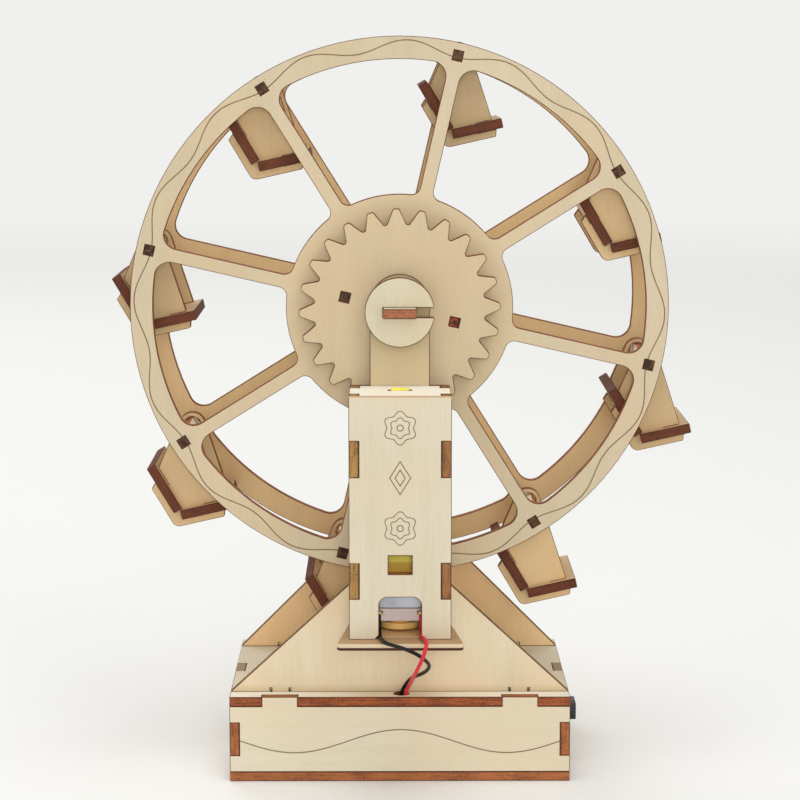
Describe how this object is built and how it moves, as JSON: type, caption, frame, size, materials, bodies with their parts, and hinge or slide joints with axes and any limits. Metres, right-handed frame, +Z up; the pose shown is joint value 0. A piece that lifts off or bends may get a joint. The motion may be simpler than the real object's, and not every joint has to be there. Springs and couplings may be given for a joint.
{
  "type": "wooden ferris wheel kit",
  "caption": "Table-top ferris wheel of laser-cut plywood with a small gear motor in a front tower, a toothed drive, and hanging gondolas between two spoked rings.",
  "frame": {"origin": "middle of the underside of the base box, where the kit stands on the table", "axes": "+Z up, +X to the right and +Y to the back, seen from the motor tower's side; the wheel turns about a line along Y"},
  "size_m": [0.1801, 0.1085, 0.2282],
  "materials": {
    "plywood": "matt",
    "gearbox_plastic": "satin",
    "motor_steel": "satin",
    "end_cap_plastic": "satin",
    "strap_plastic": "clear",
    "terminal_brass": "satin",
    "shaft_plastic": "satin",
    "holder_plastic": "matt",
    "cell_sleeve": "gloss",
    "contact_steel": "satin",
    "switch_plastic": "matt",
    "rocker_plastic": "gloss",
    "red_insulation": "satin",
    "black_insulation": "satin"
  },
  "bodies": {
    "stand": {"base_bottom": "plywood", "base_front": "plywood", "base_rear": "plywood", "base_left": "plywood", "base_right": "plywood", "base_top": "plywood", "front_frame": "plywood", "rear_frame": "plywood", "tower_front": "plywood", "tower_left": "plywood", "tower_right": "plywood", "tower_top": "plywood", "tower_shelf": "plywood", "axle": "plywood", "axle_caps": "plywood", "gearbox_front": "gearbox_plastic", "gearbox_rear": "gearbox_plastic", "motor_can": "motor_steel", "motor_end_cap": "end_cap_plastic", "motor_strap": "strap_plastic", "motor_terminals": "terminal_brass", "battery_holder": "holder_plastic", "battery_cells": "cell_sleeve", "battery_contacts": "contact_steel", "switch_body": "switch_plastic", "wire_red": "red_insulation", "wire_black": "black_insulation", "wire_switch": "red_insulation"},
    "wheel": {"front_wheel": "plywood", "rear_wheel": "plywood", "wheel_gear": "plywood", "gear_pegs": "plywood", "crossbars": "plywood"},
    "drive": {"drive_pinion": "plywood", "output_shaft": "shaft_plastic"},
    "rocker": {"switch_rocker": "rocker_plastic"},
    "gondola_1": {"gondola_1_sides": "plywood", "gondola_1_seat": "plywood", "gondola_1_back": "plywood"},
    "gondola_2": {"gondola_2_sides": "plywood", "gondola_2_seat": "plywood", "gondola_2_back": "plywood"},
    "gondola_3": {"gondola_3_sides": "plywood", "gondola_3_seat": "plywood", "gondola_3_back": "plywood"},
    "gondola_4": {"gondola_4_sides": "plywood", "gondola_4_seat": "plywood", "gondola_4_back": "plywood"},
    "gondola_5": {"gondola_5_sides": "plywood", "gondola_5_seat": "plywood", "gondola_5_back": "plywood"},
    "gondola_6": {"gondola_6_sides": "plywood", "gondola_6_seat": "plywood", "gondola_6_back": "plywood"},
    "gondola_7": {"gondola_7_sides": "plywood", "gondola_7_seat": "plywood", "gondola_7_back": "plywood"},
    "gondola_8": {"gondola_8_sides": "plywood", "gondola_8_seat": "plywood", "gondola_8_back": "plywood"}
  },
  "joints": [
    {"name": "wheel_spin", "type": "hinge", "parent": "stand", "child": "wheel", "pos_m": [0, 0.0025, 0.1452], "axis": [0, 1, 0], "continuous": true},
    {"name": "pinion_spin", "type": "hinge", "parent": "stand", "child": "drive", "pos_m": [0, -0.025, 0.1068], "axis": [0, 1, 0], "continuous": true},
    {"name": "switch_rock", "type": "hinge", "parent": "stand", "child": "rocker", "pos_m": [0.0525, -0.013, 0.0166], "axis": [0, 0, 1], "range_deg": [-16, 0]},
    {"name": "gondola_1_swing", "type": "hinge", "parent": "wheel", "child": "gondola_1", "pos_m": [0.01777, 0.0025, 0.22218], "axis": [0, 1, 0], "continuous": true},
    {"name": "gondola_2_swing", "type": "hinge", "parent": "wheel", "child": "gondola_2", "pos_m": [0.067, 0.0025, 0.18706], "axis": [0, 1, 0], "continuous": true},
    {"name": "gondola_3_swing", "type": "hinge", "parent": "wheel", "child": "gondola_3", "pos_m": [0.07698, 0.0025, 0.12743], "axis": [0, 1, 0], "continuous": true},
    {"name": "gondola_4_swing", "type": "hinge", "parent": "wheel", "child": "gondola_4", "pos_m": [0.04186, 0.0025, 0.0782], "axis": [0, 1, 0], "continuous": true},
    {"name": "gondola_5_swing", "type": "hinge", "parent": "wheel", "child": "gondola_5", "pos_m": [-0.01777, 0.0025, 0.06822], "axis": [0, 1, 0], "continuous": true},
    {"name": "gondola_6_swing", "type": "hinge", "parent": "wheel", "child": "gondola_6", "pos_m": [-0.067, 0.0025, 0.10334], "axis": [0, 1, 0], "continuous": true},
    {"name": "gondola_7_swing", "type": "hinge", "parent": "wheel", "child": "gondola_7", "pos_m": [-0.07698, 0.0025, 0.16297], "axis": [0, 1, 0], "continuous": true},
    {"name": "gondola_8_swing", "type": "hinge", "parent": "wheel", "child": "gondola_8", "pos_m": [-0.04186, 0.0025, 0.2122], "axis": [0, 1, 0], "continuous": true}
  ],
  "couplings": [
    {"joint": "pinion_spin", "follows": "wheel_spin", "ratio": -3},
    {"joint": "gondola_1_swing", "follows": "wheel_spin", "ratio": -1},
    {"joint": "gondola_2_swing", "follows": "wheel_spin", "ratio": -1},
    {"joint": "gondola_3_swing", "follows": "wheel_spin", "ratio": -1},
    {"joint": "gondola_4_swing", "follows": "wheel_spin", "ratio": -1},
    {"joint": "gondola_5_swing", "follows": "wheel_spin", "ratio": -1},
    {"joint": "gondola_6_swing", "follows": "wheel_spin", "ratio": -1},
    {"joint": "gondola_7_swing", "follows": "wheel_spin", "ratio": -1},
    {"joint": "gondola_8_swing", "follows": "wheel_spin", "ratio": -1}
  ]
}
